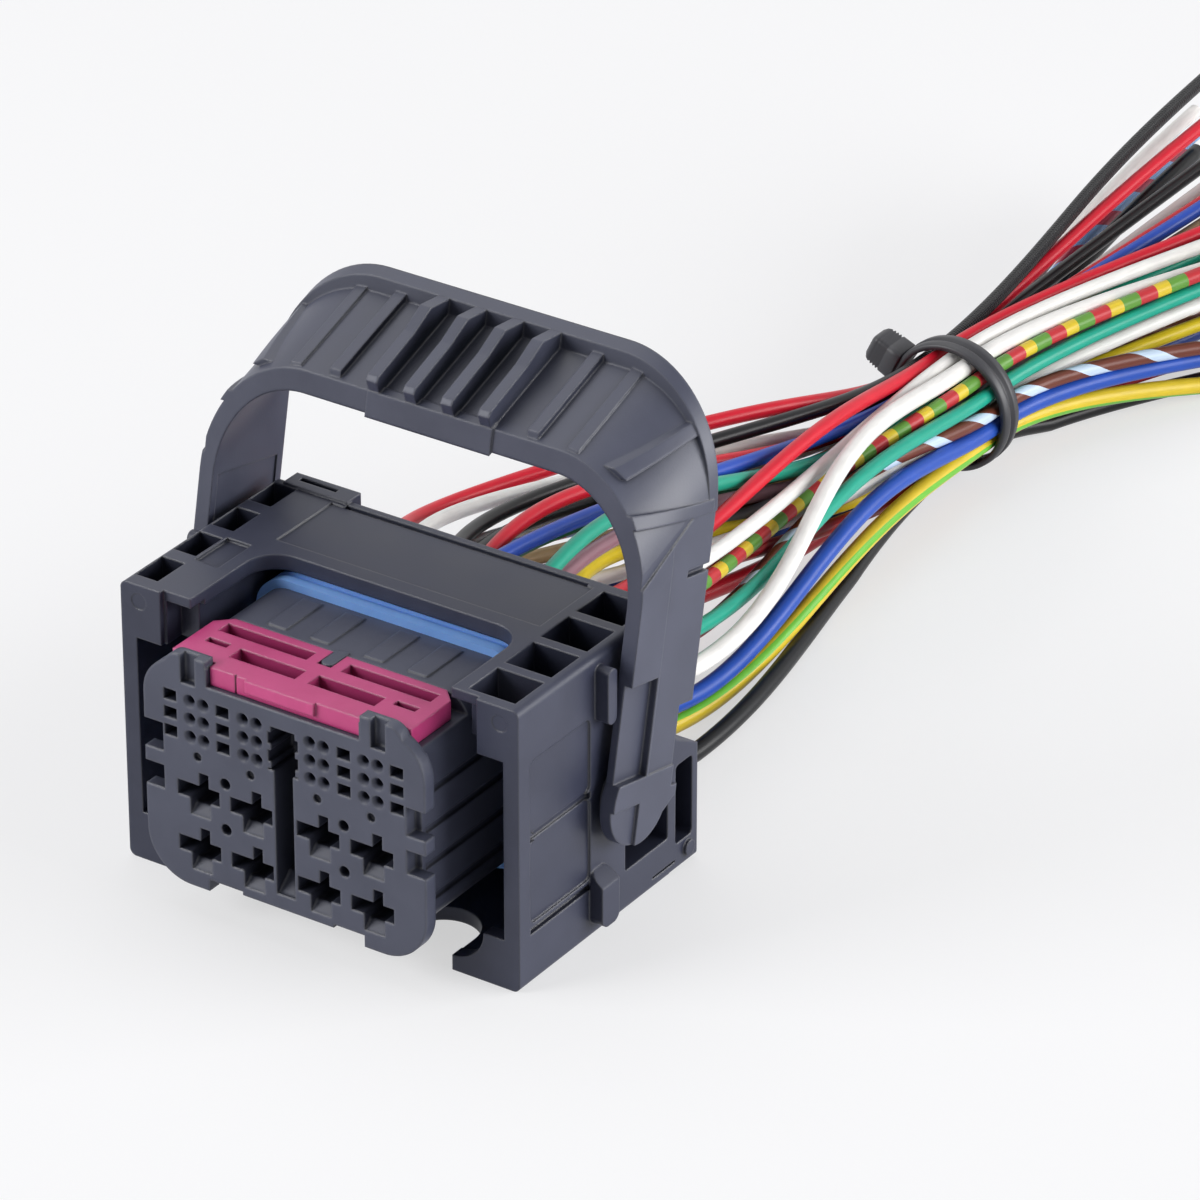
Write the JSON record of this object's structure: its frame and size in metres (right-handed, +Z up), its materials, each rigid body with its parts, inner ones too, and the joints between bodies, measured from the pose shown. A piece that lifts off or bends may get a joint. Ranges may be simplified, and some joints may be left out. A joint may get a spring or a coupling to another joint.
{
  "type": "engine control unit connector",
  "caption": "Black lever-lock engine control unit connector with a crimson secondary lock, a blue seal and a tied bundle of coloured wires.",
  "frame": {"origin": "centre of the connector's box at the level of its feet", "axes": "+Z up, -Y toward the mating face, +Y along the wires, X across the housing"},
  "size_m": [0.096, 0.2989, 0.0845],
  "materials": {
    "housing_plastic": "satin",
    "carrier_plastic": "satin",
    "lock_plastic": "satin",
    "lever_plastic": "satin",
    "blue_silicone": "matte",
    "tinned_bronze": "satin",
    "nylon": "matte",
    "insulation_red_c": "satin",
    "insulation_white_c": "satin",
    "insulation_black_c": "satin",
    "insulation_blue_b": "satin",
    "insulation_white_d": "satin",
    "insulation_teal_b": "satin",
    "insulation_red_a": "satin",
    "insulation_white_b": "satin",
    "insulation_white_e": "satin",
    "insulation_tan": "satin",
    "insulation_black_e": "satin",
    "insulation_red_b": "satin",
    "insulation_dark_blue": "satin",
    "insulation_mauve": "satin",
    "insulation_yellow": "satin",
    "insulation_banded": "satin",
    "insulation_sky_b": "satin",
    "insulation_grey_b": "satin",
    "insulation_dark_green": "satin",
    "insulation_brown": "satin",
    "insulation_black_b": "satin",
    "insulation_dark_red": "satin",
    "insulation_brown_white": "satin",
    "insulation_teal": "satin",
    "insulation_grey": "satin",
    "insulation_red_d": "satin",
    "insulation_blue": "satin",
    "insulation_white_s": "satin",
    "insulation_black_d": "satin",
    "insulation_red_low": "satin",
    "insulation_yellow_green": "satin",
    "insulation_black_low": "satin"
  },
  "bodies": {
    "connector": {"outer_housing": "housing_plastic", "terminal_carrier": "carrier_plastic", "interface_seal": "blue_silicone", "wire_seal": "blue_silicone", "seal_cover": "housing_plastic", "signal_terminals": "tinned_bronze", "cable_tie": "nylon", "power_terminal_1": "tinned_bronze", "power_terminal_2": "tinned_bronze", "power_terminal_3": "tinned_bronze", "power_terminal_4": "tinned_bronze", "power_terminal_5": "tinned_bronze", "power_terminal_6": "tinned_bronze", "power_terminal_7": "tinned_bronze", "power_terminal_8": "tinned_bronze", "wire_red_c": "insulation_red_c", "wire_white_c": "insulation_white_c", "wire_black_c": "insulation_black_c", "wire_blue_b": "insulation_blue_b", "wire_white_d": "insulation_white_d", "wire_teal_b": "insulation_teal_b", "wire_red_a": "insulation_red_a", "wire_white_b": "insulation_white_b", "wire_white_e": "insulation_white_e", "wire_tan": "insulation_tan", "wire_black_e": "insulation_black_e", "wire_red_b": "insulation_red_b", "wire_dark_blue": "insulation_dark_blue", "wire_mauve": "insulation_mauve", "wire_yellow": "insulation_yellow", "wire_banded": "insulation_banded", "wire_sky_b": "insulation_sky_b", "wire_grey_b": "insulation_grey_b", "wire_dark_green": "insulation_dark_green", "wire_brown": "insulation_brown", "wire_black_b": "insulation_black_b", "wire_dark_red": "insulation_dark_red", "wire_brown_white": "insulation_brown_white", "wire_teal": "insulation_teal", "wire_grey": "insulation_grey", "wire_red_d": "insulation_red_d", "wire_blue": "insulation_blue", "wire_white_s": "insulation_white_s", "wire_black_d": "insulation_black_d", "wire_red_low": "insulation_red_low", "wire_yellow_green": "insulation_yellow_green", "wire_black_low": "insulation_black_low"},
    "lever": {"lever": "lever_plastic"},
    "lock": {"secondary_lock": "lock_plastic"}
  },
  "joints": [
    {"name": "lever_swing", "type": "hinge", "parent": "connector", "child": "lever", "pos_m": [0, 0.00533, 0.0225], "axis": [-1, 0, 0], "range_deg": [0, 45]},
    {"name": "lock_lift", "type": "slide", "parent": "connector", "child": "lock", "axis": [0, 0, 1], "range_m": [0, 0.0024]}
  ]
}
